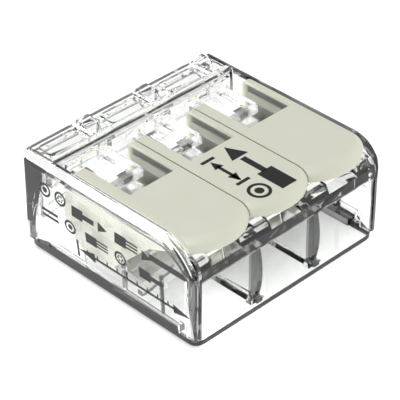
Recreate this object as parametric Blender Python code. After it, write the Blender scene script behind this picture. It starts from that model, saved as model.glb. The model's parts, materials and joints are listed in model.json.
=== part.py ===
"""Lever wire connector for three conductors, built as separate pieces.

A clear housing shell is closed from below and behind by a clear base cover.
Inside it a tinned copper busbar joins three poles. Each pole has a steel
clamping spring and a lever. The spring's contact leg stays put and its
clamping leg turns at the bend, lifted by a cam rib on the lever's cheeks.

Frame: origin at the centre of the underside, +X along the row of poles, the
wire entries face -Y, +Z up. Every length below is in millimetres.
"""
import math

import bmesh
import bpy
from mathutils import Matrix, Vector

MM = 0.001

# Overall size
WIDTH = 22.9
DEPTH = 21.1
HEIGHT = 10.1
HALF_WIDTH = WIDTH / 2
FRONT = -DEPTH / 2
REAR = DEPTH / 2

# Poles
POLE_PITCH = 6.95
POLES = (-POLE_PITCH, 0.0, POLE_PITCH)
PARTITION_X = (-POLE_PITCH / 2, POLE_PITCH / 2)
PARTITION = 0.65

# Gap kept between pieces that rest on each other
GAP = 0.1

# How far joined solids run into each other, and how far a cutter runs past its piece
OVERLAP = 0.2
BEYOND = 1.0

# Lever, measured from the middle of its pole
LEVER_HALF = 3.40
WINDOW_LEFT = -2.28
WINDOW_RIGHT = 2.88
WINDOW_FRONT = -1.2
LEVER_TOP = 9.95
PAD_UNDER = 8.8
PAD_FRONT = -10.45
PAD_SAGITTA = 1.3
ARM_REAR = 4.65
PIVOT_Y = 1.35
PIVOT_Z = 6.6
CHEEK_RADIUS = 3.85
LEVER_TRAVEL = 95.0
PAD_ROUND = 0.95
ARM_ROUND = 0.6
ARM_ROOT = 0.4
CHEEK_FRONT = (-5.0, 7.35)
SKIRT_FRONT = -8.3
SKIRT_RISE = 0.3
PICK_MARGIN = 0.01

# Cam rib that lifts the clamping leg, and the leg's share of the lever's turn
LEG_RATIO = 0.28
CAM_DEPTH = 0.33
CAM_CLEARANCE = 0.42
CAM_WIDTH = 0.6
CAM_LEAD = 8.0
CAM_EDGE = 0.02
CAM_STEPS = 14

# Clamping spring
STRIP = 0.35
SPRING_X = 0.25
SPRING_HALF = 1.8
TIP_HALF = 1.5
BEND_Y = -2.2
BEND_Z = 6.4
BEND_RADIUS = 0.7
LEG_SLOPE = 40.0
LEG_LENGTH = 5.3
CONTACT_END = 3.6
TAB_PLACE = 3.0
TAB_LENGTH = 0.4
TAB_REACH = 0.58
TIP_TAPER = 0.3
LEG_GAP = 0.05
BEND_CUT = 3.0
HOOK_DROP = 0.7

# Busbar
BAR_UNDER = 1.35
BAR_TOP = 2.15
BAR_HALF = 1.85
BAR_FRONT = -2.6
STRIP_FRONT = 3.7
STRIP_REAR = 6.0
FRAME_FRONT = 2.6
FRAME_REAR = 3.2
FRAME_POST = 0.5
CROSSBAR_UNDER = 6.1
CROSSBAR_TOP = 6.75
FRAME_SIDE = 0.25
PLATE_ROOT = 0.5

# Base cover
FLOOR = 0.75
BASE_HALF = 10.9
BASE_FRONT = -10.5
BODY_REAR = 10.1
RAIL_INNER = 10.3
RAIL_TOP = 1.5
RAIL_STEP = 1.1
RAIL_FRONT = -8.4
RAIL_STEP_FRONT = 7.1
RAIL_REAR = 8.7
REAR_WALL_FRONT = 9.2
REAR_WALL_HALF = 10.35
REAR_WALL_TOP = 8.8
LATCH_HALF = 2.7
LATCH_LOW = 2.4
LATCH_HIGH = 8.2
LATCH_ROOT = 0.3
CRADLE_CLEARANCE = 0.15
CRADLE_START = -62
CRADLE_END = -135
LEFT_CRADLE = (0.25, 0.1)
RIGHT_CRADLE = (0.05, 0.1)
FOOT_LENGTH = 0.6
FOOT_INSET = 0.6
FRONT_FOOT = 0.3
REAR_FOOT = 0.7

# Housing shell
WALL_INNER = 10.5
WALL_SHOULDER_Z = 5.8
WALL_TOP = 10.0
EDGE_ROUND_X = 0.88
EDGE_ROUND_Z = 1.2
EDGE_FLAT = 0.02
CORNER_RADIUS = 1.0
REAR_ROUND = 0.5
WALL_BITE = 0.1
JAMB_INNER = 10.25
JAMB_REAR = -9.3
FRONT_STRAIGHT = 6.3
FRONT_CURVE_REAR = -6.9
FRONT_BULGE = (0.75, 0.85)
FRONT_STEPS = 6
PARTITION_FOOT_BACK = 0.1
PARTITION_HEAD_BACK = 0.25
ROOF_UNDER = 6.55
DECK_TOP = 7.15
SILL_TOP = 7.65
BROW_TOP = 8.5
BROW_REAR = -9.1
BROW_BACK = 0.05
BROW_LEAN = 0.55
SILL_BACK = 0.1
SILL_RISE = 0.35
POCKET_LEFT = -2.2
POCKET_RIGHT = 1.3
DECK_REAR = -5.2
FUNNEL_REAR = -3.4
FUNNEL_DROP = 0.9
FUNNEL_ROOT = 0.3
HOOD_FRONT = 6.4
HOOD_BAR_REAR = 7.2
HOOD_UNDER = 9.0
HOOD_TOP = 9.7
HOOD_CHAMFER = 0.15
TONGUE_LEFT = -1.95
TONGUE_RIGHT = 2.55
TONGUE_FRONT = 2.35
TONGUE_UNDER = 7.65
TONGUE_TOP = 8.55
TONGUE_ROOT = 0.4


# --- shapes -------------------------------------------------------------

def arc(centre, radius, start, end, steps):
    """Points on a circle from one angle to another, both in degrees."""
    points = []
    for step in range(steps + 1):
        angle = math.radians(start + (end - start) * step / steps)
        points.append((centre[0] + radius * math.cos(angle), centre[1] + radius * math.sin(angle)))
    return points


def place_point(axis, first, second, along):
    """A point of a section drawn across `axis`, at a distance along that axis."""
    if axis == "X":
        return Vector((along, first, second)) * MM
    if axis == "Y":
        return Vector((first, along, second)) * MM
    return Vector((first, second, along)) * MM


def prism(outline, axis, low, high):
    """A solid of one section from `low` to `high` along an axis."""
    form = bmesh.new()
    ring = [form.verts.new(place_point(axis, first, second, low)) for first, second in outline]
    section = form.faces.new(ring)
    grown = bmesh.ops.extrude_face_region(form, geom=[section])
    moved = [item for item in grown["geom"] if isinstance(item, bmesh.types.BMVert)]
    shift = place_point(axis, 0, 0, high) - place_point(axis, 0, 0, low)
    bmesh.ops.translate(form, verts=moved, vec=shift)
    bmesh.ops.recalc_face_normals(form, faces=form.faces)
    return to_object(form, "form")


def block(x_range, y_range, z_range):
    """A rectangular solid."""
    outline = [(x_range[0], y_range[0]), (x_range[1], y_range[0]),
               (x_range[1], y_range[1]), (x_range[0], y_range[1])]
    return prism(outline, "Z", z_range[0], z_range[1])


def to_object(form, name):
    """Turn a bmesh into a linked object."""
    mesh = bpy.data.meshes.new(name)
    form.to_mesh(mesh)
    form.free()
    item = bpy.data.objects.new(name, mesh)
    bpy.context.collection.objects.link(item)
    return item


def combine(body, others, operation):
    """Join, cut or intersect a solid with others, which are used up."""
    for other in others:
        step = body.modifiers.new(operation.title(), "BOOLEAN")
        step.operation = operation
        step.solver = "EXACT"
        step.object = other
    bpy.context.view_layer.update()
    view = bpy.context.evaluated_depsgraph_get()
    mesh = bpy.data.meshes.new_from_object(body.evaluated_get(view))
    body.modifiers.clear()
    body.data = mesh
    for other in others:
        bpy.data.objects.remove(other)
    return body


def finish(item, name, material, origin=(0, 0, 0)):
    """Name a piece, give it its material and put its origin on its joint's axis."""
    base = Vector(origin) * MM
    for vertex in item.data.vertices:
        vertex.co -= base
    item.location = base
    item.name = name
    item.data.name = name
    item.data.materials.clear()
    item.data.materials.append(material)
    item.data.shade_smooth()
    item.data.set_sharp_from_angle(angle=math.radians(30))
    return item


def make_material(name, color, roughness, metallic, alpha=1.0):
    """A Principled material of one colour."""
    material = bpy.data.materials.new(name)
    material.use_nodes = True
    shader = material.node_tree.nodes["Principled BSDF"]
    shader.inputs["Base Color"].default_value = (*color, 1.0)
    shader.inputs["Roughness"].default_value = roughness
    shader.inputs["Metallic"].default_value = metallic
    shader.inputs["Alpha"].default_value = alpha
    return material


# --- housing shell --------------------------------------------------------

def wall_side_outline():
    """Side view of a side wall: upright front, then a long curve up to the flat top."""
    start = (FRONT, FRONT_STRAIGHT)
    end = (FRONT_CURVE_REAR, WALL_TOP)
    bulge = (FRONT + FRONT_BULGE[0], WALL_TOP - FRONT_BULGE[1])
    curve = []
    for step in range(FRONT_STEPS + 1):
        t = step / FRONT_STEPS
        y = (1 - t) ** 2 * start[0] + 2 * t * (1 - t) * bulge[0] + t * t * end[0]
        z = (1 - t) ** 2 * start[1] + 2 * t * (1 - t) * bulge[1] + t * t * end[1]
        curve.append((y, z))
    corner = arc((BODY_REAR - REAR_ROUND, WALL_TOP - REAR_ROUND), REAR_ROUND, 90, 0, 3)
    return ([(FRONT, FLOOR + GAP)] + curve + corner
            + [(BODY_REAR, FLOOR + GAP), (RAIL_REAR + GAP, FLOOR + GAP),
               (RAIL_REAR + GAP, RAIL_STEP + GAP), (RAIL_STEP_FRONT + GAP, RAIL_STEP + GAP),
               (RAIL_STEP_FRONT + GAP, RAIL_TOP + GAP), (RAIL_FRONT - GAP, RAIL_TOP + GAP),
               (RAIL_FRONT - GAP, FLOOR + GAP)])


def wall_front_outline(side):
    """Front view of a side wall, with its outer face leaning out and a round top edge."""
    inner = side * WALL_INNER
    foot = side * BASE_HALF
    belly = side * HALF_WIDTH
    top_edge = []
    for x, z in arc((0, 0), 1.0, 0, 90, 6):
        top_edge.append((side * (WALL_INNER + EDGE_FLAT + EDGE_ROUND_X * x),
                         WALL_TOP + EDGE_ROUND_Z * (z - 1)))
    return [(inner, 0.0), (foot, 0.0), (belly, WALL_SHOULDER_Z)] + top_edge + [(inner, WALL_TOP)]


def side_wall(side):
    """One outer side wall of the shell."""
    wall = prism(wall_front_outline(side), "Y", FRONT - BEYOND, REAR + BEYOND)
    outline = prism(wall_side_outline(), "X", -HALF_WIDTH - BEYOND, HALF_WIDTH + BEYOND)
    plan = rounded_rectangle(HALF_WIDTH, FRONT, BODY_REAR, CORNER_RADIUS)
    return combine(wall, [outline, prism(plan, "Z", -BEYOND, HEIGHT + BEYOND)], "INTERSECT")


def partition(x):
    """A wall between two wire entries."""
    outline = [(FRONT + PARTITION_FOOT_BACK, FLOOR + GAP), (FRONT + PARTITION_HEAD_BACK, ROOF_UNDER),
               (BROW_REAR, DECK_TOP - GAP), (DECK_REAR + OVERLAP, DECK_TOP - GAP),
               (DECK_REAR + OVERLAP, FLOOR + GAP)]
    return prism(outline, "X", x - PARTITION / 2, x + PARTITION / 2)


def brow():
    """The cross piece over the wire entries, with the deck and the funnel roofs behind it."""
    over = WALL_INNER + WALL_BITE
    front = FRONT + BROW_BACK
    outline = [(front, ROOF_UNDER), (front + SILL_BACK, SILL_TOP), (front + BROW_LEAN, BROW_TOP),
               (BROW_REAR, BROW_TOP), (BROW_REAR, DECK_TOP), (DECK_REAR, DECK_TOP), (DECK_REAR, ROOF_UNDER)]
    body = prism(outline, "X", -over, over)
    pockets = []
    funnels = []
    for pole in POLES:
        recess = [(front - BEYOND, SILL_TOP), (front + SILL_BACK, SILL_TOP),
                  (BROW_REAR - OVERLAP, SILL_TOP + SILL_RISE), (BROW_REAR - OVERLAP, BROW_TOP + BEYOND),
                  (front - BEYOND, BROW_TOP + BEYOND)]
        pockets.append(prism(recess, "X", pole + POCKET_LEFT, pole + POCKET_RIGHT))
        roof = [(DECK_REAR - FUNNEL_ROOT, ROOF_UNDER), (DECK_REAR - FUNNEL_ROOT, DECK_TOP),
                (DECK_REAR, DECK_TOP), (FUNNEL_REAR, DECK_TOP - FUNNEL_DROP),
                (FUNNEL_REAR, ROOF_UNDER - FUNNEL_DROP), (DECK_REAR, ROOF_UNDER)]
        funnels.append(prism(roof, "X", pole + WINDOW_LEFT + OVERLAP, pole + WINDOW_RIGHT - OVERLAP))
    combine(body, pockets, "DIFFERENCE")
    return combine(body, funnels, "UNION")


def hood():
    """The rear top: a front bar, a roof behind it and a tongue into each lever's window."""
    over = WALL_INNER + WALL_BITE
    outline = [(HOOD_FRONT, TONGUE_UNDER), (HOOD_FRONT, HEIGHT - HOOD_CHAMFER),
               (HOOD_FRONT + HOOD_CHAMFER, HEIGHT), (HOOD_BAR_REAR, HEIGHT), (HOOD_BAR_REAR, HOOD_TOP),
               (BODY_REAR, HOOD_TOP), (BODY_REAR, HOOD_UNDER), (HOOD_BAR_REAR, HOOD_UNDER),
               (HOOD_BAR_REAR, TONGUE_UNDER)]
    body = prism(outline, "X", -over, over)
    tongues = []
    for pole in POLES:
        tongues.append(block((pole + TONGUE_LEFT, pole + TONGUE_RIGHT),
                             (TONGUE_FRONT, HOOD_FRONT + TONGUE_ROOT), (TONGUE_UNDER, TONGUE_TOP)))
    return combine(body, tongues, "UNION")


def housing_shell(material):
    """The clear housing: side walls, partitions, brow over the entries and rear hood."""
    shell = side_wall(-1)
    pieces = [side_wall(1), brow(), hood()]
    for x in PARTITION_X:
        pieces.append(partition(x))
    for side in (-1, 1):
        jamb_x = sorted((side * JAMB_INNER, side * (WALL_INNER + WALL_BITE)))
        pieces.append(block(jamb_x, (FRONT + PARTITION_FOOT_BACK, JAMB_REAR),
                            (FLOOR + GAP, ROOF_UNDER + OVERLAP)))
    combine(shell, pieces, "UNION")
    return finish(shell, "housing_shell", material)


# --- base cover -------------------------------------------------------------

def rounded_rectangle(half_x, low_y, high_y, radius):
    """Plan outline with four round corners."""
    return (arc((half_x - radius, high_y - radius), radius, 0, 90, 4)
            + arc((-half_x + radius, high_y - radius), radius, 90, 180, 4)
            + arc((-half_x + radius, low_y + radius), radius, 180, 270, 4)
            + arc((half_x - radius, low_y + radius), radius, 270, 360, 4))


def cradle(x_low, x_high):
    """A rib under a lever cheek, hollowed to the cheek's round edge."""
    seat = arc((PIVOT_Y, PIVOT_Z), CHEEK_RADIUS + CRADLE_CLEARANCE, CRADLE_START, CRADLE_END, 6)
    outline = [(seat[-1][0], FLOOR - OVERLAP), (seat[0][0], FLOOR - OVERLAP)] + seat
    return prism(outline, "X", x_low, x_high)


def base_cover(material):
    """The clear cover: floor, side rails, rear wall with latch panels and cradle ribs."""
    plate = prism(rounded_rectangle(BASE_HALF, BASE_FRONT, BODY_REAR, CORNER_RADIUS), "Z", 0, FLOOR)
    pieces = [block((-REAR_WALL_HALF, REAR_WALL_HALF), (REAR_WALL_FRONT, BODY_REAR),
                    (FLOOR - OVERLAP, REAR_WALL_TOP))]
    for side in (-1, 1):
        rail_x = sorted((side * RAIL_INNER, side * BASE_HALF))
        rail = [(RAIL_FRONT, FLOOR - OVERLAP), (RAIL_FRONT, RAIL_TOP), (RAIL_STEP_FRONT, RAIL_TOP),
                (RAIL_STEP_FRONT, RAIL_STEP), (RAIL_REAR, RAIL_STEP), (RAIL_REAR, FLOOR - OVERLAP)]
        pieces.append(prism(rail, "X", rail_x[0], rail_x[1]))
    for pole in POLES:
        pieces.append(block((pole - LATCH_HALF, pole + LATCH_HALF), (BODY_REAR - LATCH_ROOT, REAR),
                            (LATCH_LOW, LATCH_HIGH)))
        pieces.append(cradle(pole - LEVER_HALF + LEFT_CRADLE[0], pole + WINDOW_LEFT - LEFT_CRADLE[1]))
        pieces.append(cradle(pole + WINDOW_RIGHT + RIGHT_CRADLE[0], pole + LEVER_HALF - RIGHT_CRADLE[1]))
        for y in (BAR_FRONT + FRONT_FOOT, STRIP_FRONT + REAR_FOOT):
            pieces.append(block((pole - BAR_HALF + FOOT_INSET, pole + BAR_HALF), (y, y + FOOT_LENGTH),
                                (FLOOR - OVERLAP, BAR_UNDER - GAP)))
    combine(plate, pieces, "UNION")
    return finish(plate, "base_cover", material)


# --- busbar ---------------------------------------------------------------------

def busbar(material):
    """A cross strip with one contact plate and one upright frame for each pole."""
    left = POLES[0] + SPRING_X - BAR_HALF
    right = POLES[-1] + SPRING_X + BAR_HALF
    bar = block((left, right), (STRIP_FRONT, STRIP_REAR), (BAR_UNDER, BAR_TOP))
    pieces = []
    for pole in POLES:
        middle = pole + SPRING_X
        low_x = middle - BAR_HALF
        high_x = middle + BAR_HALF
        pieces.append(block((low_x, high_x), (BAR_FRONT, STRIP_FRONT + PLATE_ROOT), (BAR_UNDER, BAR_TOP)))
        frame = block((low_x - FRAME_SIDE, high_x + FRAME_SIDE), (FRAME_FRONT, FRAME_REAR),
                      (BAR_UNDER + OVERLAP, CROSSBAR_TOP))
        inner_x = (low_x - FRAME_SIDE + FRAME_POST, high_x + FRAME_SIDE - FRAME_POST)
        opening = block(inner_x, (FRAME_FRONT - BEYOND, FRAME_REAR + BEYOND), (BAR_TOP, CROSSBAR_UNDER))
        pieces.append(combine(frame, [opening], "DIFFERENCE"))
    combine(bar, pieces, "UNION")
    return finish(bar, "busbar", material)


# --- clamping spring ------------------------------------------------------------

def leg_direction():
    """Unit vector along the clamping leg at rest, from the bend to the tip."""
    slope = math.radians(LEG_SLOPE)
    return (math.cos(slope), -math.sin(slope))


def leg_start():
    """Where the bend ends and the straight clamping leg begins."""
    turn = math.radians(270 - LEG_SLOPE)
    return (BEND_Y + BEND_RADIUS * math.cos(turn), BEND_Z + BEND_RADIUS * math.sin(turn))


def contact_leg(number, pole, material):
    """The spring's fixed part: the leg over the frame's crossbar and the front bend."""
    middle = pole + SPRING_X
    centre = (BEND_Y, BEND_Z)
    outer = arc(centre, BEND_RADIUS + STRIP / 2, 270 - LEG_SLOPE - BEND_CUT, 90, 10)
    inner = arc(centre, BEND_RADIUS - STRIP / 2, 90, 270 - LEG_SLOPE - BEND_CUT, 10)
    top = BEND_Z + BEND_RADIUS + STRIP / 2
    under = top - STRIP
    hook = [(CONTACT_END, top), (CONTACT_END, under - HOOK_DROP), (CONTACT_END - STRIP, under - HOOK_DROP),
            (CONTACT_END - STRIP, under)]
    leg = prism(outer + hook + inner, "X", middle - SPRING_HALF, middle + SPRING_HALF)
    return finish(leg, f"spring_{number}_contact_leg", material)


def clamping_leg(number, pole, material):
    """The spring's moving leg, with a tab at each side for the lever's cam ribs."""
    middle = pole + SPRING_X
    tab_near = TAB_PLACE - TAB_LENGTH / 2
    tab_far = TAB_PLACE + TAB_LENGTH / 2
    reach = SPRING_HALF + TAB_REACH
    half_outline = [(SPRING_HALF, LEG_GAP), (SPRING_HALF, tab_near), (reach, tab_near), (reach, tab_far),
                    (SPRING_HALF, tab_far), (TIP_HALF, tab_far + TIP_TAPER), (TIP_HALF, LEG_LENGTH)]
    outline = half_outline + [(-x, along) for x, along in reversed(half_outline)]
    leg = prism(outline, "Z", -STRIP / 2, STRIP / 2)
    start = leg_start()
    place = Matrix.Translation(Vector((middle, start[0], start[1])) * MM)
    leg.data.transform(place @ Matrix.Rotation(math.radians(-LEG_SLOPE), 4, "X"))
    return finish(leg, f"spring_{number}_clamping_leg", material, (middle, BEND_Y, BEND_Z))


# --- lever ------------------------------------------------------------------------

def tab_from_pivot(turn):
    """Distance and angle from the pivot to the tab when the lever has turned so far."""
    along = leg_direction()
    start = leg_start()
    rest_y = start[0] + along[0] * TAB_PLACE - BEND_Y
    rest_z = start[1] + along[1] * TAB_PLACE - BEND_Z
    lift = math.radians(turn * LEG_RATIO)
    y = BEND_Y + rest_y * math.cos(lift) - rest_z * math.sin(lift) - PIVOT_Y
    z = BEND_Z + rest_y * math.sin(lift) + rest_z * math.cos(lift) - PIVOT_Z
    return math.hypot(y, z), math.degrees(math.atan2(z, y))


def cam_outline():
    """Spiral rib on a cheek: its inner edge follows the tab through the lever's whole turn."""
    inner = []
    outer = []
    for step in range(-1, CAM_STEPS + 2):
        turn = LEVER_TRAVEL * min(max(step, 0), CAM_STEPS) / CAM_STEPS
        distance, angle = tab_from_pivot(turn)
        spread = CAM_LEAD * (-1 if step < 0 else 1 if step > CAM_STEPS else 0)
        bearing = math.radians(angle + turn + spread)
        near = distance + CAM_CLEARANCE
        far = min(near + CAM_WIDTH, CHEEK_RADIUS - CAM_EDGE)
        inner.append((PIVOT_Y + near * math.cos(bearing), PIVOT_Z + near * math.sin(bearing)))
        outer.append((PIVOT_Y + far * math.cos(bearing), PIVOT_Z + far * math.sin(bearing)))
    return inner + outer[::-1]


def cheek_outline():
    """Side view of a cheek: a round disc about the pivot, and a skirt up to the pad."""
    disc = arc((PIVOT_Y, PIVOT_Z), CHEEK_RADIUS, -140, 0, 16)
    return ([(SKIRT_FRONT, PAD_UNDER), CHEEK_FRONT] + disc
            + [(ARM_REAR, PAD_UNDER), (ARM_REAR - GAP, PAD_UNDER + SKIRT_RISE),
               (SKIRT_FRONT, PAD_UNDER + SKIRT_RISE)])


def pad(pole):
    """The finger pad: flat top, bowed front edge with a big rounding."""
    radius = (LEVER_HALF ** 2 + PAD_SAGITTA ** 2) / (2 * PAD_SAGITTA)
    spread = math.degrees(math.asin(LEVER_HALF / radius))
    bow = arc((pole, PAD_FRONT + radius), radius, 270 - spread, 270 + spread, 10)
    outline = bow + [(pole + LEVER_HALF, WINDOW_FRONT), (pole - LEVER_HALF, WINDOW_FRONT)]
    item = prism(outline, "Z", PAD_UNDER, LEVER_TOP)
    form = bmesh.new()
    form.from_mesh(item.data)
    front_edges = []
    for edge in form.edges:
        on_top = all(vertex.co.z > (LEVER_TOP - PICK_MARGIN) * MM for vertex in edge.verts)
        on_bow = all(vertex.co.y < (PAD_FRONT + PAD_SAGITTA + PICK_MARGIN) * MM for vertex in edge.verts)
        if on_top and on_bow:
            front_edges.append(edge)
    bmesh.ops.bevel(form, geom=front_edges, offset=PAD_ROUND * MM, segments=4, profile=0.5,
                    affect="EDGES", material=-1, clamp_overlap=True)
    form.to_mesh(item.data)
    form.free()
    return item


def lever(number, pole, material):
    """One lever: pad, two arms round the window, two cheeks and their cam ribs."""
    left_arm_x = (pole - LEVER_HALF, pole + WINDOW_LEFT)
    right_arm_x = (pole + WINDOW_RIGHT, pole + LEVER_HALF)
    pieces = []
    for arm_x in (left_arm_x, right_arm_x):
        end = arc((ARM_REAR - ARM_ROUND, LEVER_TOP - ARM_ROUND), ARM_ROUND, 0, 90, 4)
        arm = ([(WINDOW_FRONT - ARM_ROOT, PAD_UNDER), (ARM_REAR, PAD_UNDER)] + end
               + [(WINDOW_FRONT - ARM_ROOT, LEVER_TOP)])
        pieces.append(prism(arm, "X", arm_x[0], arm_x[1]))
        pieces.append(prism(cheek_outline(), "X", arm_x[0], arm_x[1]))
    rib = cam_outline()
    pieces.append(prism(rib, "X", left_arm_x[1] - OVERLAP, left_arm_x[1] + CAM_DEPTH))
    pieces.append(prism(rib, "X", right_arm_x[0] - CAM_DEPTH, right_arm_x[0] + OVERLAP))
    item = combine(pad(pole), pieces, "UNION")
    return finish(item, f"lever_{number}", material, (pole, PIVOT_Y, PIVOT_Z))


# --- the connector ------------------------------------------------------------

def main():
    for item in list(bpy.data.objects):
        bpy.data.objects.remove(item)
    clear = make_material("clear_polycarbonate", (0.92, 0.93, 0.93), 0.05, 0.0, 0.35)
    tinned = make_material("tinned_copper", (0.78, 0.77, 0.74), 0.28, 1.0)
    steel = make_material("spring_steel", (0.80, 0.81, 0.82), 0.18, 1.0)
    moulded = make_material("moulded_lever", (0.66, 0.67, 0.58), 0.45, 0.0)
    housing_shell(clear)
    base_cover(clear)
    busbar(tinned)
    for index, pole in enumerate(POLES):
        number = index + 1
        contact_leg(number, pole, steel)
        clamping_leg(number, pole, steel)
        lever(number, pole, moulded)


main()
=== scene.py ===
import json
import math

import bmesh
import bpy
from mathutils import Matrix, Vector


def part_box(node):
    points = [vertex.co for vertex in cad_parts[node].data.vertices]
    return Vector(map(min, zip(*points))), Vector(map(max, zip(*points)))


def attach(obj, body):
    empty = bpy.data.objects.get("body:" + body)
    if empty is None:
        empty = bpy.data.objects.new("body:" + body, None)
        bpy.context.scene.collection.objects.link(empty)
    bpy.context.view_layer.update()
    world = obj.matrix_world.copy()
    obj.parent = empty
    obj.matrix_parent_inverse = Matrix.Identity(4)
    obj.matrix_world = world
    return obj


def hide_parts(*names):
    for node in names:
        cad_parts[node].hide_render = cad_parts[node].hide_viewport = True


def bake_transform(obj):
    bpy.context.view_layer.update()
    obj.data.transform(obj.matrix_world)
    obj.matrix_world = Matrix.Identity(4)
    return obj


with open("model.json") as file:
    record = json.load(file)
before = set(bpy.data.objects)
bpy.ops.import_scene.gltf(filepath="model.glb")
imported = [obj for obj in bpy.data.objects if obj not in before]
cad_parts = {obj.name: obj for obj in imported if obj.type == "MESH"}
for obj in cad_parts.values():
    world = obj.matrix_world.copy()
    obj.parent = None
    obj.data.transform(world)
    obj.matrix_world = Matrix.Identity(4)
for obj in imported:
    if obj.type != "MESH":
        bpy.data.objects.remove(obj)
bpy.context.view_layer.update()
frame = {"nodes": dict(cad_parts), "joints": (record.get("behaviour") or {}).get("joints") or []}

# Lengths are in millimetres until they reach a mesh.
MM = 0.001


def node_box(node):
    """Lowest and highest corner of a frame node, in millimetres."""
    low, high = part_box(node)
    return low / MM, high / MM


SHELL_LOW, SHELL_HIGH = node_box("housing_shell")
BASE_LOW, BASE_HIGH = node_box("base_cover")
BAR_LOW, BAR_HIGH = node_box("busbar")
LEVER_BOXES = [node_box(f"lever_{number}") for number in (1, 2, 3)]
POLES = [(low.x + high.x) / 2 for low, high in LEVER_BOXES]
POLE_PITCH = POLES[1] - POLES[0]
HINGES = {joint["child"]: Vector(joint["pos_m"]) / MM for joint in frame["joints"]}
BEND = HINGES["clamping_leg_1"]

# Shell
FRONT = SHELL_LOW.y
BODY_REAR = SHELL_HIGH.y
HALF_WIDTH = SHELL_HIGH.x
HEIGHT = SHELL_HIGH.z
SHELL_FOOT = SHELL_LOW.z
WALL_INNER = 10.5
FOOT_HALF = BASE_HIGH.x
SHOULDER_Z = 5.8
CURVE_REAR = -6.9
JAMB_INNER = 10.25
PARTITION = 0.65
ROOF_UNDER = 6.55
DECK_REAR = -5.2
HOOD_FRONT = 6.4
HOOD_BAR_REAR = 7.2
HOOD_TOP = 9.7
TONGUE_LEFT = -1.95
TONGUE_RIGHT = 2.55
TONGUE_FRONT = 2.35
TONGUE_UNDER = 7.65
TONGUE_TOP = 8.55
TONGUE_GROOVES = (-1.1, 1.3)
NOSE_SLOT_X = 0.8
NOSE_SLOT_Z = 8.1
EDGE_SOFTNESS = 0.07
SMOOTH_ANGLE = 24
SHARP_ANGLE = 28
RIB_HEIGHT = 0.08
RIB_WIDTH = 0.14
FOOT_ROUND = 0.35
AIR_UNDER = 0.05

# Base cover
FLOOR = 0.75
RAIL_INNER = 10.3
RAIL_TOP = 1.5
RAIL_STEP = 1.1
RAIL_FRONT = -8.4
RAIL_STEP_FRONT = 7.1
RAIL_REAR = 8.7
REAR_WALL_FRONT = 9.2
REAR_WALL_HALF = 10.35

# Busbar and clamping spring
BAR_TOP = 2.15
STRIP = 0.35
TIP_HALF = 1.5
BEND_RADIUS = 0.7
LEG_SLOPE = 40.0
LEG_LENGTH = 5.3
TAB_PLACE = 3.0
HOOK_DROP = 1.0

# Printed marks
INK_THICKNESS = 0.01
LINE_WIDTH = 0.34
STROKE = 0.26

# Lever, across from the middle of its pole
LEVER_SOFTNESS = 0.13
LEVER_HALF = (LEVER_BOXES[0][1].x - LEVER_BOXES[0][0].x) / 2
LEVER_TOP = LEVER_BOXES[0][1].z
WINDOW_RIGHT = 2.88
WINDOW_FRONT = -1.2
PAD_UNDER = 8.8
ARM_REAR = 4.65


# Colours are linear; the depth is in metres
CLEAR_COLOR = (0.975, 0.98, 0.975)
# Painted shade colour for the clear mouldings' edges, slots and recesses
PAINTED_EDGE_SHADE = (0.01, 0.01, 0.01)
LAMP_TINT = (0.93, 0.94, 0.93, 1.0)
CLEAR_DEPTH = 0.018
LEVER_COLOR = (0.605, 0.61, 0.50)
LEVER_LIGHTER = (0.645, 0.65, 0.54)
# Painted shade colours: the shaded inside of a lever's window, then the lower outer cheeks
PAINTED_WINDOW_SHADE = (0.05, 0.05, 0.045)
PAINTED_CHEEK_SHADE = (0.42, 0.42, 0.37)


# --- shapes ---------------------------------------------------------------

def arc(centre, radius, start, end, steps):
    """Points on a circle from one angle to another, both in degrees."""
    points = []
    for step in range(steps + 1):
        angle = math.radians(start + (end - start) * step / steps)
        points.append((centre[0] + radius * math.cos(angle), centre[1] + radius * math.sin(angle)))
    return points


def bezier(start, pull, end, steps):
    """Points on a curve that leaves `start` towards `pull` and arrives at `end` from it."""
    points = []
    for step in range(steps + 1):
        t = step / steps
        points.append(tuple((1 - t) ** 2 * a + 2 * t * (1 - t) * b + t * t * c
                            for a, b, c in zip(start, pull, end)))
    return points


def place_point(axis, first, second, along):
    """A point of a section drawn across `axis`, at a distance along that axis."""
    if axis == "X":
        return Vector((along, first, second)) * MM
    if axis == "Y":
        return Vector((first, along, second)) * MM
    return Vector((first, second, along)) * MM


def prism(outline, axis, low, high):
    """A bmesh of one section from `low` to `high` along an axis."""
    form = bmesh.new()
    ring = [form.verts.new(place_point(axis, first, second, low)) for first, second in outline]
    section = form.faces.new(ring)
    grown = bmesh.ops.extrude_face_region(form, geom=[section])
    moved = [item for item in grown["geom"] if isinstance(item, bmesh.types.BMVert)]
    shift = place_point(axis, 0, 0, high) - place_point(axis, 0, 0, low)
    bmesh.ops.translate(form, verts=moved, vec=shift)
    bmesh.ops.recalc_face_normals(form, faces=form.faces)
    return form


def block(x_range, y_range, z_range):
    """A rectangular bmesh."""
    outline = [(x_range[0], y_range[0]), (x_range[1], y_range[0]),
               (x_range[1], y_range[1]), (x_range[0], y_range[1])]
    return prism(outline, "Z", z_range[0], z_range[1])


def round_edges(form, chosen, radius, segments):
    """Round the edges that `chosen` picks, given an edge's two ends in millimetres."""
    picked = [edge for edge in form.edges
              if chosen(edge.verts[0].co / MM, edge.verts[1].co / MM)]
    bmesh.ops.bevel(form, geom=picked, offset=radius * MM, segments=segments, profile=0.5,
                    affect="EDGES", material=-1, clamp_overlap=True)
    return form


def to_object(form, name):
    """Turn a bmesh into a linked object."""
    mesh = bpy.data.meshes.new(name)
    form.to_mesh(mesh)
    form.free()
    item = bpy.data.objects.new(name, mesh)
    bpy.context.scene.collection.objects.link(item)
    return item


def settle(item):
    """Replace an object's mesh with what its modifiers make of it."""
    bpy.context.view_layer.update()
    view = bpy.context.evaluated_depsgraph_get()
    mesh = bpy.data.meshes.new_from_object(item.evaluated_get(view))
    item.modifiers.clear()
    item.data = mesh
    return item


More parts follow.
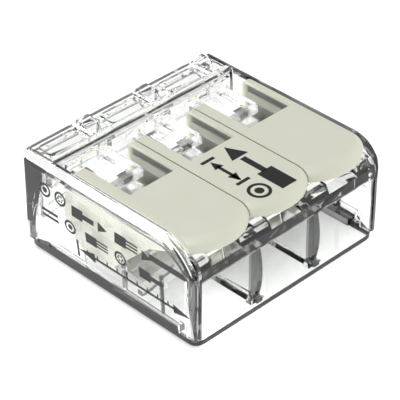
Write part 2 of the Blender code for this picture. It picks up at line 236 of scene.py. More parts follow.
def combine(body, forms, operation):
    """Join or cut an object with bmesh solids, which are used up."""
    others = [to_object(form, "tool") for form in forms]
    for other in others:
        step = body.modifiers.new(operation.title(), "BOOLEAN")
        step.operation = operation
        step.solver = "EXACT"
        step.object = other
    settle(body)
    for other in others:
        bpy.data.objects.remove(other)
    return body


def split_flats(item):
    """Cut many-sided flats into triangles, which stay simple when their edges are softened."""
    form = bmesh.new()
    form.from_mesh(item.data)
    many_sided = [face for face in form.faces if len(face.verts) > 4]
    bmesh.ops.triangulate(form, faces=many_sided, quad_method="BEAUTY", ngon_method="EAR_CLIP")
    form.to_mesh(item.data)
    form.free()


def soften(item, width, segments=2):
    """Give every sharp edge of a settled piece a small round, as a mould leaves it."""
    split_flats(item)
    step = item.modifiers.new("Soft edges", "BEVEL")
    step.width = width * MM
    step.segments = segments
    step.limit_method = "ANGLE"
    step.angle_limit = math.radians(SHARP_ANGLE)
    step.miter_outer = "MITER_ARC"
    return settle(item)


def finish_piece(item, name, material, body, slot, *nodes):
    """Name, shade and colour a finished piece, and let it ride on its body if it has just one."""
    item.name = name
    item.data.name = name
    item.data.materials.clear()
    item.data.materials.append(material)
    item.data.shade_smooth()
    item.data.set_sharp_from_angle(angle=math.radians(SMOOTH_ANGLE))
    item.modifiers.new("Flat faces stay flat", "WEIGHTED_NORMAL").keep_sharp = True
    settle(item)
    if body:
        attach(item, body)
    if nodes:
        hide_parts(*nodes)
    return item


# --- materials --------------------------------------------------------------

class Value:
    """A shader socket that takes part in arithmetic."""

    def __init__(self, tree, socket):
        self.tree = tree
        self.socket = socket

    def math(self, operation, first, second=None):
        step = self.tree.nodes.new("ShaderNodeMath")
        step.operation = operation
        for index, term in enumerate((first, second)):
            if isinstance(term, Value):
                self.tree.links.new(term.socket, step.inputs[index])
            elif term is not None:
                step.inputs[index].default_value = term
        return Value(self.tree, step.outputs[0])

    def __add__(self, other):
        return self.math("ADD", self, other)

    def __radd__(self, other):
        return self.math("ADD", other, self)

    def __sub__(self, other):
        return self.math("SUBTRACT", self, other)

    def __rsub__(self, other):
        return self.math("SUBTRACT", other, self)

    def __mul__(self, other):
        return self.math("MULTIPLY", self, other)

    def __rmul__(self, other):
        return self.math("MULTIPLY", other, self)

    def __gt__(self, other):
        return self.math("GREATER_THAN", self, other)

    def __lt__(self, other):
        return self.math("LESS_THAN", self, other)

    def __abs__(self):
        return self.math("ABSOLUTE", self)


class Finish:
    """A material and the node tree behind it."""

    def __init__(self, name):
        self.material = bpy.data.materials.new(name)
        self.material.use_nodes = True
        self.tree = self.material.node_tree
        self.shader = self.tree.nodes["Principled BSDF"]
        self.place = self.node("ShaderNodeTexCoord", "Object")

    def node(self, kind, output, settings=None, **values):
        """Add a node, set it up and return one of its outputs."""
        step = self.tree.nodes.new(kind)
        for key, setting in (settings or {}).items():
            setattr(step, key, setting)
        for key, value in values.items():
            self.feed(step.inputs[key.replace("_", " ")], value)
        return Value(self.tree, step.outputs[output])

    def feed(self, socket, value):
        if isinstance(value, Value):
            self.tree.links.new(value.socket, socket)
        else:
            socket.default_value = value

    def set(self, **values):
        """Set the shader's own sockets."""
        for key, value in values.items():
            self.feed(self.shader.inputs[key.replace("_", " ")], value)

    def ramp(self, value, start, end):
        """Nothing at `start`, rising evenly to one at `end`."""
        return self.node("ShaderNodeMapRange", "Result", Value=value, From_Min=start, From_Max=end)

    def noise(self, scale, detail=2.0, stretch=(1, 1, 1)):
        """Noise in the object's own coordinates; `scale` is in repeats per millimetre."""
        spot = self.node("ShaderNodeMapping", "Vector", Vector=self.place,
                         Scale=tuple(part * scale / MM for part in stretch))
        return self.node("ShaderNodeTexNoise", "Fac", Vector=spot, Scale=1.0, Detail=detail)

    def axes(self):
        """The object coordinates in millimetres, as three values."""
        split = self.tree.nodes.new("ShaderNodeSeparateXYZ")
        self.tree.links.new(self.place.socket, split.inputs[0])
        return [Value(self.tree, output) * (1 / MM) for output in split.outputs]

    def blend_colors(self, factor, first, second):
        step = self.tree.nodes.new("ShaderNodeMix")
        step.data_type = "RGBA"
        self.feed(step.inputs[0], factor)
        self.feed(step.inputs[6], (*first, 1.0) if isinstance(first, tuple) else first)
        self.feed(step.inputs[7], (*second, 1.0) if isinstance(second, tuple) else second)
        return Value(self.tree, step.outputs[2])

    def let_lamps_through(self, tint):
        """Let lamp light pass straight through, tinted, so that what is inside is lit."""
        lamp_ray = self.node("ShaderNodeLightPath", "Is Shadow Ray")
        clear = self.tree.nodes.new("ShaderNodeBsdfTransparent")
        clear.inputs["Color"].default_value = tint
        mix = self.tree.nodes.new("ShaderNodeMixShader")
        self.feed(mix.inputs[0], lamp_ray)
        self.tree.links.new(self.shader.outputs[0], mix.inputs[1])
        self.tree.links.new(clear.outputs[0], mix.inputs[2])
        self.tree.links.new(mix.outputs[0], self.tree.nodes["Material Output"].inputs["Surface"])

    def darken_with_depth(self, depth):
        """Lose light inside the moulding: a path `depth` metres long keeps about a third."""
        body = self.tree.nodes.new("ShaderNodeVolumeAbsorption")
        body.inputs["Color"].default_value = (0.0, 0.0, 0.0, 1.0)
        body.inputs["Density"].default_value = 1 / depth
        self.tree.links.new(body.outputs[0], self.tree.nodes["Material Output"].inputs["Volume"])

    def bump(self, height, depth):
        """Relief of `depth` millimetres."""
        return self.node("ShaderNodeBump", "Normal", Height=height, Distance=depth * MM, Strength=1.0)


def clear_polycarbonate(name, shade):
    """Polished clear moulding with faint flow marks and a grained patch on each tongue.

    The shade function gives how much painted grey shade goes into the colour at a place. It stands in
    for the dark look of thick edges, slots and recesses.
    """
    finish = Finish(name)
    x, y, z = finish.axes()
    on_tongue = (abs(x) < WALL_INNER) * (y > TONGUE_FRONT - 0.2) * (y < HOOD_FRONT)
    on_tongue = on_tongue * (z > TONGUE_UNDER - 0.3) * (z < TONGUE_TOP + 0.2)
    flow = finish.noise(0.25, 2.0, (1.0, 0.4, 1.0))
    grain = finish.noise(3.0, 3.0)
    relief = flow * 0.35 + grain * on_tongue * 0.5
    # Painted shade: grey is blended into the clear colour where the shade function asks for it
    color = finish.blend_colors(shade(x, y, z), CLEAR_COLOR, PAINTED_EDGE_SHADE)
    finish.set(Base_Color=color, Roughness=0.02 + flow * 0.03 + on_tongue * 0.1,
               IOR=1.57, Transmission_Weight=1.0, Normal=finish.bump(relief, 0.02))
    finish.let_lamps_through(LAMP_TINT)
    finish.darken_with_depth(CLEAR_DEPTH)
    return finish.material


def from_repeats(x, place):
    """How far `x` is from a place that every pole has."""
    offset = x - place
    return offset.math("PINGPONG", offset, POLE_PITCH / 2)


def painted_shell_shade(x, y, z):
    """Painted grey shade along the walls' front edges, and along the tongues' sides, grooves and nose
    slots.
    """
    partition = (y < FRONT + 1.1) * (from_repeats(x, POLE_PITCH / 2) < PARTITION / 2 + 0.1)
    partition = partition * (z < ROOF_UNDER - 0.2) * (abs(x) < POLE_PITCH)
    end_wall = (y < FRONT + 0.5) * (abs(x) > JAMB_INNER)
    on_top = (abs(x) < WALL_INNER) * (y > TONGUE_FRONT - 0.1) * (y < HOOD_FRONT - 0.1)
    on_top = on_top * (z > TONGUE_UNDER + 0.3) * (z < TONGUE_TOP + 0.1)
    lines = 0.0
    for places, width in (((TONGUE_LEFT, TONGUE_RIGHT), 0.14), (TONGUE_GROOVES, 0.16)):
        for place in places:
            lines = lines + (from_repeats(x, place) < width)
    slot = (from_repeats(x, NOSE_SLOT_X) < 0.5) * (abs(z - NOSE_SLOT_Z) < 0.25)
    slot = slot * (y > TONGUE_FRONT - 0.1) * (y < TONGUE_FRONT + 1.0)
    return partition * 0.84 + end_wall * 0.8 + on_top * lines * 0.55 + slot * 0.95


def painted_base_shade(x, y, z):
    """Painted grey shade along the side rails, and under the rear of the wire entries, darker further
    back under the roof.
    """
    rail = (abs(x) > RAIL_INNER - 0.1) * (z < RAIL_TOP + 0.1) * (1.0 - z * 0.15)
    return rail + (y < -3.0) * (z > FLOOR - 0.2) * (abs(x) < RAIL_INNER - 0.1) * (y - FRONT) * 0.045


def moulded_lever(pole):
    """Satin light grey moulding with a fine grain.

    Shade is painted into its colour: dark down inside the window on the inner right cheek and the
    window's front, less over the rib and towards the top edge, and grey on the lower outer cheeks.
    """
    finish = Finish("moulded_lever")
    x, y, z = finish.axes()
    grain = finish.noise(14.0, 3.0)
    cloud = finish.noise(0.3, 2.0)
    color = finish.blend_colors(cloud, LEVER_COLOR, LEVER_LIGHTER)
    across = x - pole
    # Painted shade inside the window: dark on the right cheek and the front, lighter over the rib strip,
    # fading out towards the top
    in_window = finish.ramp(z, 5.6, 6.8) * finish.ramp(z, LEVER_TOP - 0.2, LEVER_TOP - 0.4)
    right_cheek = (across > WINDOW_RIGHT - 0.3) * (across < WINDOW_RIGHT + 0.02)
    right_cheek = right_cheek * (y > WINDOW_FRONT - 0.1)
    raised = right_cheek * (across < WINDOW_RIGHT - 0.18)
    front = (y < WINDOW_FRONT + 0.02) * (y > WINDOW_FRONT - 0.3) * finish.ramp(across, 0.0, 1.5)
    cheek_shade = right_cheek * finish.ramp(y, ARM_REAR, ARM_REAR - 0.8) * 0.93 - raised * 0.3
    color = finish.blend_colors(in_window * (cheek_shade + front * 0.85), color, PAINTED_WINDOW_SHADE)
    # Painted shade on the lower outer cheeks
    lower = (z < PAD_UNDER - 0.2) * (abs(across) > LEVER_HALF - 0.1)
    color = finish.blend_colors(lower * 0.6, color, PAINTED_CHEEK_SHADE)
    finish.set(Base_Color=color, Roughness=0.42 + grain * 0.16, IOR=1.5,
               Normal=finish.bump(grain, 0.012))
    return finish.material


def tinned_copper():
    """Bright tin with rolling marks along the strip."""
    finish = Finish("tinned_copper")
    streak = finish.noise(2.0, 3.0, (0.2, 3.0, 3.0))
    color = finish.blend_colors(streak, (0.70, 0.68, 0.64), (0.85, 0.84, 0.80))
    finish.set(Base_Color=color, Metallic=1.0, Roughness=0.22 + streak * 0.2,
               Normal=finish.bump(streak, 0.01))
    return finish.material


def spring_steel():
    """Bright rolled steel strip, brushed along its length."""
    finish = Finish("spring_steel")
    streak = finish.noise(6.0, 2.0, (3.0, 0.1, 0.1))
    color = finish.blend_colors(streak, (0.80, 0.81, 0.82), (0.92, 0.92, 0.92))
    finish.set(Base_Color=color, Metallic=1.0, Roughness=0.14 + streak * 0.14,
               Normal=finish.bump(streak, 0.006))
    return finish.material


def printed_ink(name, tone):
    """Thin matt pad-printed ink."""
    finish = Finish(name)
    patch = finish.noise(6.0, 2.0)
    color = finish.blend_colors(patch, (tone, tone, tone), (tone * 1.6, tone * 1.6, tone * 1.6))
    finish.set(Base_Color=color, Roughness=0.65 + patch * 0.2, Specular_IOR_Level=0.15)
    return finish.material


CLEAR_SHELL = clear_polycarbonate("clear_shell", painted_shell_shade)
CLEAR_BASE = clear_polycarbonate("clear_base", painted_base_shade)
TIN = tinned_copper()
STEEL = spring_steel()
INK = printed_ink("black_ink", 0.004)
SIDE_INK = printed_ink("grey_ink", 0.045)


# --- clear mouldings ----------------------------------------------------------

def merged_copy(node, name):
    """A solid copy of a frame node, with its loose triangles joined into whole flat faces."""
    form = bmesh.new()
    form.from_mesh(frame["nodes"][node].data)
    bmesh.ops.remove_doubles(form, verts=form.verts, dist=0.0005 * MM)
    bmesh.ops.dissolve_limit(form, angle_limit=math.radians(0.5), verts=form.verts, edges=form.edges)
    return to_object(form, name)


def guide_ribs():
    """Two low rails on the end wall of the last wire entry."""
    ribs = []
    for z, y_front, y_rear in ((0.95, -9.0, -5.4), (2.15, -8.8, -6.3)):
        rib = block((WALL_INNER - RIB_HEIGHT, WALL_INNER + 0.1), (y_front, y_rear), (z, z + RIB_WIDTH))
        ribs.append(round_edges(rib, lambda a, b: abs(a.y - b.y) > 1 and max(a.x, b.x) < WALL_INNER,
                                RIB_HEIGHT * 0.6, 2))
    return ribs


def partition_feet():
    """A flared foot along each partition, wider at the front."""
    feet = []
    for x in (-POLE_PITCH / 2, POLE_PITCH / 2):
        for flare, y_rear in ((0.28, DECK_REAR), (0.5, FRONT + 1.0)):
            top = SHELL_FOOT + flare * 1.2
            outline = [(x - PARTITION / 2 - flare, SHELL_FOOT), (x + PARTITION / 2 + flare, SHELL_FOOT),
                       (x + PARTITION / 2, top), (x - PARTITION / 2, top)]
            feet.append(prism(outline, "Y", FRONT + 0.3, y_rear))
    return feet


def partition_fronts():
    """Cutters that bow the front edge of each partition."""
    bow = bezier((FRONT + 0.55, SHELL_FOOT + 0.35), (FRONT - 0.25, 3.6), (FRONT + 0.6, ROOF_UNDER), 10)
    outline = [(FRONT - 1, SHELL_FOOT + 0.35)] + bow + [(FRONT - 1, ROOF_UNDER)]
    return [prism(outline, "X", x - PARTITION, x + PARTITION)
            for x in (-POLE_PITCH / 2, POLE_PITCH / 2)]


def hood_ribs():
    """Raised blocks along the hood's rear edge, a roof panel and a gusset for each pole."""
    ribs = []
    for pole in POLES:
        panel = block((pole - 2.9, pole + 0.9), (7.6, 9.5), (HOOD_TOP - 0.1, HOOD_TOP + 0.18))
        ribs.append(round_edges(panel, lambda a, b: abs(a.z - b.z) > 0.1, 0.35, 3))
        barrel = arc((pole + 1.75, HOOD_TOP - 0.12), 0.42, 0, 180, 10)
        ribs.append(prism(barrel, "Y", 7.1, 9.9))
        gusset = [(pole + 2.45, 7.1), (pole + 3.4, 7.1), (pole + 3.4, 9.0)]
        ribs.append(prism(gusset, "Z", HOOD_TOP - 0.1, HOOD_TOP + 0.25))
        ribs.append(block((pole + 2.0, pole + 3.3), (9.3, BODY_REAR - 0.02),
                          (HOOD_TOP - 0.1, HEIGHT - 0.08)))
    ribs.append(block((-WALL_INNER, WALL_INNER), (BODY_REAR - 0.5, BODY_REAR - 0.02),
                      (HOOD_TOP - 0.1, HOOD_TOP + 0.12)))
    return ribs


def hood_slots():
    """Narrow slots under the front edge of the hood bar, beside each tongue."""
    slots = []
    for pole in POLES:
        slots.append(block((pole + 0.75, pole + 3.1), (HOOD_FRONT - 1, HOOD_FRONT + 0.35), (9.35, 9.62)))
        slots.append(block((pole - 2.4, pole + 2.7), (HOOD_FRONT - 0.6, HOOD_BAR_REAR - 0.25),
                           (8.62, 9.2)))
    return slots


def tongue_cuts():
    """The slot in each tongue's nose and the slanted facets on its top."""
    cuts = []
    for pole in POLES:
        slot = (arc((pole + NOSE_SLOT_X + 0.35, NOSE_SLOT_Z), 0.17, -90, 90, 6)
                + arc((pole + NOSE_SLOT_X - 0.35, NOSE_SLOT_Z), 0.17, 90, 270, 6))
        cuts.append(prism(slot, "Y", TONGUE_FRONT - 1, TONGUE_FRONT + 0.9))
        for x in TONGUE_GROOVES:
            groove = [(pole + x - 0.3, TONGUE_TOP + 0.1), (pole + x + 0.42, TONGUE_TOP + 0.1),
                      (pole + x + 0.1, TONGUE_TOP - 0.28)]
            cuts.append(prism(groove, "Y", TONGUE_FRONT + 0.9, HOOD_FRONT - 0.6))
        nose = [(TONGUE_FRONT - 0.1, TONGUE_TOP - 0.3), (TONGUE_FRONT + 0.5, TONGUE_TOP + 0.1),
                (TONGUE_FRONT - 0.1, TONGUE_TOP + 0.1)]
        cuts.append(prism(nose, "X", pole + TONGUE_LEFT - 0.2, pole + TONGUE_RIGHT + 0.2))
    return cuts


def wall_ribs():
    """A half-round upright rib inside each side wall, behind the wire entry."""
    ribs = []
    for side in (-1, 1):
        outline = arc((side * WALL_INNER, -6.6), 0.22, 0, 360, 12)[:-1]
        ribs.append(prism(outline, "Z", 1.7, 5.6))
    return ribs


def sweep(section, stations):
    """A solid whose section, across X and Z, is carried along Y; each station is a (y, rise)."""
    form = bmesh.new()
    rings = [[form.verts.new(Vector((x, y, z + rise)) * MM) for x, z in section] for y, rise in stations]
    for near, far in zip(rings, rings[1:]):
        for index in range(len(section)):
            after = (index + 1) % len(section)
            form.faces.new((near[index], near[after], far[after], far[index]))
    form.faces.new(rings[0])
    form.faces.new(rings[-1])
    bmesh.ops.recalc_face_normals(form, faces=form.faces)
    return form


def edge_reliefs():
    """Hollows that keep the wall thin where it turns over beside the levers and down the front."""
    stations = [(ARM_REAR, 0.0), (CURVE_REAR, 0.0), (-7.5, -0.2), (-8.0, -0.43), (-8.5, -0.72),
                (-9.0, -1.12), (-9.5, -1.65), (-9.8, -2.05)]
    reliefs = []
    for side in (-1, 1):
        turn = [(side * (WALL_INNER + 0.42 * x), 8.75 + 0.8 * z) for x, z in arc((0, 0), 1.0, 0, 80, 6)]
        section = [(side * (WALL_INNER - 0.5), 8.68), (side * WALL_INNER, 8.68)] + turn
        section.append((side * (WALL_INNER - 0.5), 9.54))
        reliefs.append(sweep(section, stations))
    return reliefs


def clear_housing():
    """The housing shell with its ribs, hood slots, tongue facets and thinned edges."""
    shell = merged_copy("housing_shell", "clear_housing")
    combine(shell, guide_ribs() + partition_feet() + hood_ribs() + wall_ribs(), "UNION")
    combine(shell, partition_fronts() + hood_slots() + tongue_cuts() + edge_reliefs(), "DIFFERENCE")
    soften(shell, EDGE_SOFTNESS)
    finish_piece(shell, "clear_housing", CLEAR_SHELL, "root", "clear_polycarbonate", "housing_shell")


def latch_noses():
    """Wedge noses on each rear latch panel, which snap under the shell's rear edge."""
    noses = []
    for pole in POLES:
        for x in (-1.6, 1.6):
            for z in (2.9, 7.0):
                wedge = [(BODY_REAR - 0.1, z), (BASE_HIGH.y, z), (BASE_HIGH.y, z + 0.15),
                         (BODY_REAR - 0.1, z + 0.9)]
                noses.append(prism(wedge, "X", pole + x - 0.5, pole + x + 0.5))
    return noses


def thick_rails():
    """Solid corners that carry each side rail down into the floor."""
    rails = []
    for side in (-1, 1):
        x_range = sorted((side * (RAIL_INNER - 0.6), side * (RAIL_INNER + 0.1)))
        rails.append(block(x_range, (RAIL_FRONT, RAIL_STEP_FRONT), (FLOOR - 0.1, RAIL_TOP - 0.03)))
        rails.append(block(x_range, (RAIL_STEP_FRONT - 0.1, RAIL_REAR), (FLOOR - 0.1, RAIL_STEP - 0.03)))
    return rails


def end_windows():
    """Open windows at both ends of the rear wall."""
    windows = []
    for side in (-1, 1):
        x_range = sorted((side * (REAR_WALL_HALF + 1), side * (REAR_WALL_HALF - 1.3)))
        for z_range in ((2.6, 4.6), (5.3, 7.6)):
            windows.append(block(x_range, (REAR_WALL_FRONT + 0.25, REAR_WALL_FRONT + 0.75), z_range))
    return windows


def latch_windows():
    """Recesses that leave each latch panel as a frame round its noses."""
    return [block((pole - 2.2, pole + 2.2), (BODY_REAR + 0.1, BASE_HIGH.y + 1), (3.2, 7.4))
            for pole in POLES]


def clear_base():
    """The base cover with rounded feet, solid rails and framed latch panels."""
    base = merged_copy("base_cover", "clear_base")
    form = bmesh.new()
    form.from_mesh(base.data)
    round_edges(form, lambda a, b: max(a.z, b.z) < 0.01, FOOT_ROUND, 4)
    form.to_mesh(base.data)
    form.free()
    combine(base, thick_rails(), "UNION")
    combine(base, latch_windows() + end_windows(), "DIFFERENCE")
    combine(base, latch_noses(), "UNION")
    soften(base, EDGE_SOFTNESS)
    finish_piece(base, "clear_base", CLEAR_BASE, "root", "clear_polycarbonate", "base_cover")


# --- busbar and springs -------------------------------------------------------

def busbar_stamping():
    """The busbar with cross ridges where the clamping leg presses the conductor."""
    bar = merged_copy("busbar", "busbar_stamping")
    ridges = []
    for number in (1, 2, 3):
        low, high = node_box(f"spring_{number}_contact_leg")
        for y in (-2.0, -1.4, -0.8):
            ridge = [(y - 0.15, BAR_TOP - 0.05), (y + 0.15, BAR_TOP - 0.05), (y, BAR_TOP + 0.1)]
            ridges.append(prism(ridge, "X", low.x + 0.3, high.x - 0.3))
    combine(bar, ridges, "UNION")
    soften(bar, 0.05)
    finish_piece(bar, "busbar_stamping", TIN, "root", "tinned_copper", "busbar")


def clamping_spring(number):
    """One folded strip: hooked contact leg, front bend and the leg that clamps the wire."""
    low, high = node_box(f"spring_{number}_contact_leg")
    leg_low, leg_high = node_box(f"spring_{number}_clamping_leg")
    middle = (low.x + high.x) / 2
    bend = Vector((BEND.y, BEND.z))
    half_strip = STRIP / 2
    slope = math.radians(LEG_SLOPE)
    along = Vector((math.cos(slope), -math.sin(slope)))
    across = Vector((math.sin(slope), math.cos(slope)))
    leg_foot = bend - across * BEND_RADIUS
    tip = leg_foot + along * LEG_LENGTH
    top = high.z
    hook = [(high.y, top), (high.y, top - HOOK_DROP), (high.y - STRIP, top - HOOK_DROP),
            (high.y - STRIP, top - STRIP)]
    outer = arc(bend, BEND_RADIUS + half_strip, 270 - LEG_SLOPE, 90, 14)
    inner = arc(bend, BEND_RADIUS - half_strip, 90, 270 - LEG_SLOPE, 14)
    leg_end = [tuple(tip + across * half_strip), tuple(tip - across * half_strip)]
    strip = to_object(prism(outer + hook + inner + leg_end, "X", low.x, high.x), "strip")
    reach = (leg_high.x - leg_low.x) / 2
    tab = leg_foot + along * TAB_PLACE
    tabs = prism([tuple(tab + along * s * 0.2 + across * t * half_strip)
                  for s, t in ((-1, -1), (1, -1), (1, 1), (-1, 1))], "X", middle - reach, middle + reach)
    combine(strip, [tabs], "UNION")
    sides = []
    taper = leg_foot + along * (TAB_PLACE + 0.5)
    beyond = tip + along
    for side in (-1, 1):
        x_range = sorted((middle + side * TIP_HALF, middle + side * (reach + 1)))
        outline = [tuple(point + across * t)
                   for point, t in ((taper, -1), (beyond, -1), (beyond, 1), (taper, 1))]
        sides.append(prism(outline, "X", *x_range))
    combine(strip, sides, "DIFFERENCE")
    soften(strip, 0.04)
    finish_piece(strip, f"clamping_spring_{number}", STEEL, None, "spring_steel",
                 f"spring_{number}_contact_leg", f"spring_{number}_clamping_leg")
    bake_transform(strip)


# --- levers ---------------------------------------------------------------------

def stadium(centre, half_length, half_width, steps=8):
    """A slot-shaped outline lying along its first axis."""
    return (arc((centre[0] + half_length, centre[1]), half_width, -90, 90, steps)
            + arc((centre[0] - half_length, centre[1]), half_width, 90, 270, steps))


def lever_moulding(number):
    """A lever with soft edges, a raised slot-shaped rib inside its window and a finger lip."""
    pole = POLES[number - 1]
    lever = merged_copy(f"lever_{number}", "lever")
    rib = prism(stadium((1.7, 8.75), 1.9, 0.42), "X",
                pole + WINDOW_RIGHT - 0.22, pole + WINDOW_RIGHT + 0.1)
    combine(lever, [rib], "UNION")
    soften(lever, LEVER_SOFTNESS, 3)
    finish_piece(lever, f"lever_{number}_moulding", moulded_lever(pole), f"lever_{number}",
                 "moulded_lever", f"lever_{number}")


# --- printed marks ----------------------------------------------------------------

def wall_x(z):
    """Where the left wall's outer face stands at a height."""
    if z < SHOULDER_Z:
        return -(FOOT_HALF + (HALF_WIDTH - FOOT_HALF) * z / SHOULDER_Z)
    return -HALF_WIDTH + 0.05 * (z - SHOULDER_Z) / 3


def ink_sheet(outlines, axis, level):
    """Flat printed shapes, drawn across an axis, in one mesh."""
    sheet = bmesh.new()
    for outline in outlines:
        mark = prism(outline, axis, level, level + INK_THICKNESS)
        mesh = bpy.data.meshes.new("mark")
        mark.to_mesh(mesh)
        mark.free()
        sheet.from_mesh(mesh)
        bpy.data.meshes.remove(mesh)
    return sheet


def bar(first, second, width):
    """A straight stroke between two points, as an outline."""
    start, end = Vector(first), Vector(second)
    side = (end - start).orthogonal().normalized() * width / 2
    return [tuple(start + side), tuple(end + side), tuple(end - side), tuple(start - side)]


def arrow_head(tip, toward, length, width):
    """A triangle with its point at `tip`, pointing along `toward`."""
    point, along = Vector(tip), Vector(toward).normalized()
    side = along.orthogonal() * width / 2
    foot = point - along * length
    return [tuple(point), tuple(foot + side), tuple(foot - side)]


def ring(centre, radius, width, steps=20):
    """A round stroke, as short pieces that close on themselves."""
    pieces = []
    turn = 360 / steps
    for step in range(steps):
        outer = arc(centre, radius, step * turn, (step + 1) * turn, 1)
        inner = arc(centre, radius - width, (step + 1) * turn, step * turn, 1)
        pieces.append(outer + inner)
    return pieces


def lever_print():
    """A stripped wire, an arrow into the entry and its strip length, on the middle lever."""
    pole = POLES[1]
    wire = pole + 1.05
    gauge = pole - 1.35
    marks = [bar((wire, -9.3), (wire, -6.4), 1.7), bar((wire, -6.5), (wire, -3.9), 0.62),
             arrow_head((wire, -1.75), (0, 1), 1.9, 1.9),
             bar((gauge, -5.9), (gauge, -3.3), LINE_WIDTH),
             bar((gauge - 0.75, -6.3), (gauge + 0.75, -6.3), LINE_WIDTH),
             bar((gauge - 0.75, -2.2), (gauge + 0.75, -2.2), LINE_WIDTH),
             arrow_head((gauge, -2.5), (0, 1), 1.1, 1.0), arrow_head((gauge, -6.1), (0, -1), 1.1, 1.0),
             arc((gauge, -8.15), 0.42, 0, 360, 16)[:-1]]
    marks += ring((gauge, -8.15), 1.05, 0.3)
    item = to_object(ink_sheet(marks, "Z", LEVER_TOP), "lever_print")
    finish_piece(item, "lever_print", INK, "lever_2", None)


def wire_picture(y, z, strands):
    """A stripped wire end: its sleeve, then its core as one thick stroke or three thin ones."""
    sleeve_end, core_end = y - 1.35, y - 2.7
    if strands == 1:
        cores = [bar((sleeve_end + 0.1, z), (core_end, z), 0.5)]
    else:
        cores = [bar((sleeve_end + 0.1, z + shift), (core_end, z + shift), 0.17)
                 for shift in (-0.32, 0.0, 0.32)]
    return [bar((y, z), (sleeve_end, z), 1.05)] + cores


def section_picture(y, z, strands):
    """A wire seen end on: a round sleeve with one core or six strands in it."""
    marks = ring((y, z), 0.7, 0.22)
    if strands == 1:
        return marks + [arc((y, z), 0.28, 0, 360, 12)[:-1]]
    for turn in range(0, 360, 60):
        angle = math.radians(turn)
        spot = (y + 0.28 * math.cos(angle), z + 0.28 * math.sin(angle))
        marks.append(arc(spot, 0.11, 0, 360, 8)[:-1])
    return marks


def side_print():
    """A strip gauge with its ruler, and pictures of the wire kinds, on the left wall."""
    gauge, gauge_rear = 3.3, 3.2
    marks = [bar((gauge_rear, gauge - 0.9), (gauge_rear, gauge + 0.9), STROKE),
             bar((gauge_rear - 1.6, gauge), (FRONT + 2.0, gauge), STROKE),
             arrow_head((gauge_rear - 0.1, gauge), (1, 0), 2.0, 1.0),
             arrow_head((FRONT + 0.35, gauge), (-1, 0), 2.0, 0.9)]
    for step in range(1, 10):
        tick = 0.8 if step % 5 == 0 else 0.45
        y = gauge_rear - 1.2 * step
        marks.append(bar((y, gauge), (y, gauge + tick), 0.15))
    upper, lower = 7.1, 5.2
    marks += section_picture(6.9, upper + 0.4, 1) + section_picture(5.0, upper + 0.4, 7)
    marks += wire_picture(3.6, upper, 1) + [arrow_head((-0.7, upper), (-1, 0), 1.1, 1.0)]
    marks += wire_picture(-1.6, upper, 3) + [arrow_head((-5.9, upper - 0.1), (-1, 0), 1.1, 1.0)]
    marks += [bar((7.4, z), (5.4, z), 0.3) for z in (lower - 0.35, lower + 0.25)]
    marks += section_picture(3.9, lower, 1)
    marks += wire_picture(2.0, lower, 3) + section_picture(-2.2, lower, 7)
    marks += wire_picture(-4.4, lower - 0.1, 1)
    sheet = ink_sheet(marks, "X", 0.0)
    for vertex in sheet.verts:
        vertex.co.x = (wall_x(vertex.co.z / MM) - vertex.co.x / MM) * MM
    bmesh.ops.reverse_faces(sheet, faces=sheet.faces)
    item = to_object(sheet, "side_print")
    finish_piece(item, "side_print", SIDE_INK, "root", None)


# --- studio -------------------------------------------------------------------

def studio_floor():
    """A pale floor just under the object, so that its base stands on a thin layer of air."""
    form = bmesh.new()
    bmesh.ops.create_grid(form, x_segments=1, y_segments=1, size=1.0,
                          matrix=Matrix.Translation((0, 0, -AIR_UNDER * MM)))
    floor = to_object(form, "studio_floor")
    finish = Finish("studio_floor")
    speckle = finish.noise(0.05, 2.0)
    color = finish.blend_colors(speckle, (0.80, 0.80, 0.80), (0.82, 0.82, 0.82))
    finish.set(Base_Color=color, Roughness=0.9, Emission_Color=(1.0, 1.0, 1.0, 1.0),
               Emission_Strength=0.34)
    floor.data.materials.append(finish.material)


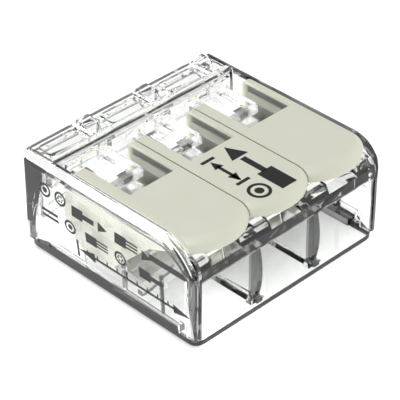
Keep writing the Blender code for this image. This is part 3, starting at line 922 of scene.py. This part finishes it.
def soft_light(name, direction, long_axis, sizes, radiance, distance=0.45):
    """A soft box that lies along `long_axis` and shines at the object from a direction."""
    away = Vector(direction).normalized()
    along = Vector(long_axis)
    along = (along - away * along.dot(away)).normalized()
    turn = Matrix((along, away.cross(along), away)).transposed().to_4x4()
    light = bpy.data.lights.new(name, "AREA")
    light.shape = "RECTANGLE"
    light.size, light.size_y = sizes
    light.energy = radiance * math.pi * sizes[0] * sizes[1]
    item = bpy.data.objects.new(name, light)
    bpy.context.scene.collection.objects.link(item)
    item.matrix_world = Matrix.Translation(away * distance) @ turn
    item.visible_diffuse = False
    item.visible_transmission = False


def surroundings():
    """A studio that is brightest above, in front and to the right, and dimmer on the far side."""
    world = bpy.data.worlds.new("studio_room")
    bpy.context.scene.world = world
    world.use_nodes = True
    tree = world.node_tree
    spot = tree.nodes.new("ShaderNodeTexCoord")
    facing = tree.nodes.new("ShaderNodeVectorMath")
    facing.operation = "DOT_PRODUCT"
    facing.inputs[1].default_value = Vector((0.45, -0.35, 0.82)).normalized()
    ramp = tree.nodes.new("ShaderNodeValToRGB")
    tree.links.new(spot.outputs["Generated"], facing.inputs[0])
    tree.links.new(facing.outputs["Value"], ramp.inputs[0])
    tree.links.new(ramp.outputs[0], tree.nodes["Background"].inputs[0])
    ramp.color_ramp.elements[0].position = 0.0
    ramp.color_ramp.elements[0].color = (0.42, 0.42, 0.42, 1.0)
    ramp.color_ramp.elements[1].position = 0.9
    ramp.color_ramp.elements[1].color = (1.3, 1.3, 1.3, 1.0)


def camera():
    """A long lens from the front left, above."""
    azimuth = math.radians(-44.9)
    elevation = math.radians(35.7)
    distance = 168.2
    aim = Vector((-0.84, -0.80, 5.0))
    away = Vector((math.sin(azimuth) * math.cos(elevation),
                   -math.cos(azimuth) * math.cos(elevation), math.sin(elevation)))
    data = bpy.data.cameras.new("camera")
    data.sensor_width = 36.0
    data.lens = 178.25
    data.clip_start = 0.01
    item = bpy.data.objects.new("camera", data)
    bpy.context.scene.collection.objects.link(item)
    item.location = (aim + away * distance) * MM
    item.rotation_euler = away.to_track_quat("Z", "Y").to_euler()
    bpy.context.scene.camera = item


clear_housing()
clear_base()
busbar_stamping()
for number in (1, 2, 3):
    clamping_spring(number)
    lever_moulding(number)
lever_print()
side_print()
studio_floor()
surroundings()
soft_light("edge_light", (-0.584, 0.575, 0.573), (0.7, 0, 0.71), (0.84, 0.26), 16.0)
soft_light("corner_light", (-0.62, -0.18, 0.76), (0, 1, 0), (0.40, 0.22), 14.0)
camera()
bpy.context.scene.view_settings.view_transform = "Standard"
